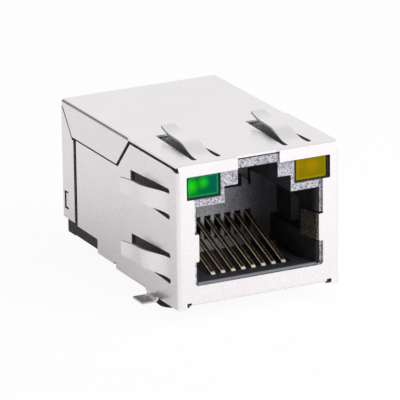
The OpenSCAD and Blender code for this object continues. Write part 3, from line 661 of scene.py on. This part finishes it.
def add_catches():
    """A pressed catch with a dished pad in each flange window, and its mirrored copy."""
    bpy.ops.object.select_all(action="DESELECT")
    bpy.ops.mesh.primitive_cube_add(size=1, location=(CATCH_LOW + CATCH_HIGH) / 2,
                                    scale=CATCH_HIGH - CATCH_LOW)
    right = bpy.context.active_object
    right.name = "right_catch"
    bpy.ops.object.transform_apply(location=True, rotation=False, scale=True)
    bpy.ops.object.mode_set(mode="EDIT")
    bpy.ops.mesh.select_all(action="DESELECT")
    bpy.ops.object.mode_set(mode="OBJECT")
    for face in right.data.polygons:
        face.select = face.normal.x > FACES_RIGHT
    bpy.ops.object.mode_set(mode="EDIT")
    bpy.ops.mesh.select_mode(type="FACE")
    bpy.ops.mesh.inset(thickness=PAD_MARGIN, depth=PAD_HEIGHT)
    bpy.ops.mesh.inset(thickness=DISH_MARGIN, depth=-DISH_DEPTH)
    bpy.ops.object.mode_set(mode="OBJECT")
    edges = right.modifiers.new("pressed edges", "BEVEL")
    edges.width = PRESSED_EDGE
    edges.segments = 2
    edges.limit_method = "ANGLE"
    bpy.ops.object.modifier_apply(modifier="pressed edges")
    left = bpy.data.objects.new("left_catch", right.data.copy())
    bpy.context.scene.collection.objects.link(left)
    finish_catch(right)
    select_only(left)
    scale_mesh((-1, 1, 1))
    bpy.ops.mesh.normals_make_consistent(inside=False)
    finish_catch(left)
    bpy.ops.object.select_all(action="DESELECT")


add_catches()


# ---- table and light -------------------------------------------------------------

TABLE_SIZE = 1.6                     # metres
TABLE_COLOUR = (0.92, 0.896, 0.902)
TABLE_SEEN = 0.94                    # how far the camera sees plain white instead of paint
TABLE_MIRRORED = 0.2                 # the same, in mirroring surfaces

ROOM_COLOUR = (0.99, 0.985, 1.0)
ROOM_LEVEL = 0.42                    # what the room gives as diffuse light
HORIZON_LEVEL = 0.895                # mirrored at the horizon
OVERHEAD_LEVEL = 0.73                # mirrored overhead
CEILING_STARTS = (0.3, 0.85)         # in the Z of a direction
SCREEN_LEVEL = 0.12                  # mirrored dark screen behind, at the left
SCREEN_TOWARDS = (-0.36, 0.89, 0.28)
SCREEN_EDGE = [math.cos(math.radians(angle)) for angle in (22, 12)]

SOFTBOX_PLACE = (0.30, -0.38, 0.27)  # metres
SOFTBOX_AIM = (0, 0, 0.005)
SOFTBOX_SIZE = 0.56
SOFTBOX_POWER = 4.3


def is_mirrored(tree, path, clamp=False):
    """1 for a ray that a surface has mirrored or let through."""
    return new_math(tree, "ADD", path["Is Glossy Ray"], path["Is Transmission Ray"], clamp)


def add_table():
    """A matt white table that gives the object its shadow and looks white to the camera."""
    bpy.ops.mesh.primitive_plane_add(size=TABLE_SIZE, location=(0, 0, TABLE_Z))
    table = bpy.context.active_object
    table.name = "table"
    material = bpy.data.materials.new("white table")
    material.use_nodes = True
    tree = material.node_tree
    tree.nodes.clear()
    diffuse = tree.nodes.new("ShaderNodeBsdfDiffuse")
    diffuse.inputs["Color"].default_value = (*TABLE_COLOUR, 1)
    white = tree.nodes.new("ShaderNodeEmission")
    mix = tree.nodes.new("ShaderNodeMixShader")
    path = tree.nodes.new("ShaderNodeLightPath").outputs
    seen = new_math(tree, "MULTIPLY", path["Is Camera Ray"], TABLE_SEEN)
    mirrored = new_math(tree, "MULTIPLY", is_mirrored(tree, path), TABLE_MIRRORED)
    share = new_math(tree, "ADD", seen, mirrored, clamp=True)
    output = tree.nodes.new("ShaderNodeOutputMaterial")
    tree.links.new(share, mix.inputs["Fac"])
    tree.links.new(diffuse.outputs["BSDF"], mix.inputs[1])
    tree.links.new(white.outputs["Emission"], mix.inputs[2])
    tree.links.new(mix.outputs["Shader"], output.inputs["Surface"])
    table.data.materials.append(material)
    bpy.ops.object.select_all(action="DESELECT")


def add_world():
    """A pale room, white where it is seen, with a dimmer ceiling and one dark screen."""
    world = bpy.data.worlds.new("room")
    bpy.context.scene.world = world
    world.use_nodes = True
    tree = world.node_tree
    tree.nodes.clear()
    direction = tree.nodes.new("ShaderNodeTexCoord").outputs["Generated"]
    ceiling = ramp(tree, split_vector(tree, direction)["Z"], *CEILING_STARTS,
                   HORIZON_LEVEL, OVERHEAD_LEVEL)
    towards = vector_math(tree, "DOT_PRODUCT", direction, Vector(SCREEN_TOWARDS).normalized())
    screen = ramp(tree, towards, *SCREEN_EDGE, 1.0, SCREEN_LEVEL)
    mirrored = new_math(tree, "MULTIPLY", ceiling, screen)
    path = tree.nodes.new("ShaderNodeLightPath").outputs
    level = mix_values(tree, is_mirrored(tree, path, clamp=True), ROOM_LEVEL, mirrored)
    seen = mix_values(tree, path["Is Camera Ray"], level, 1.0)
    background = tree.nodes.new("ShaderNodeBackground")
    background.inputs["Color"].default_value = (*ROOM_COLOUR, 1)
    output = tree.nodes.new("ShaderNodeOutputWorld")
    tree.links.new(seen, background.inputs["Strength"])
    tree.links.new(background.outputs["Background"], output.inputs["Surface"])


def add_softbox():
    """The one lamp, in front at the right and above."""
    data = bpy.data.lights.new("front softbox", "AREA")
    data.shape = "SQUARE"
    data.size = SOFTBOX_SIZE
    data.energy = SOFTBOX_POWER
    light = bpy.data.objects.new("front softbox", data)
    light.location = SOFTBOX_PLACE
    aim = Vector(SOFTBOX_AIM) - Vector(SOFTBOX_PLACE)
    light.rotation_euler = aim.to_track_quat("-Z", "Y").to_euler()
    bpy.context.scene.collection.objects.link(light)


bpy.context.scene.view_settings.view_transform = "Standard"
add_camera()
add_table()
add_world()
add_softbox()
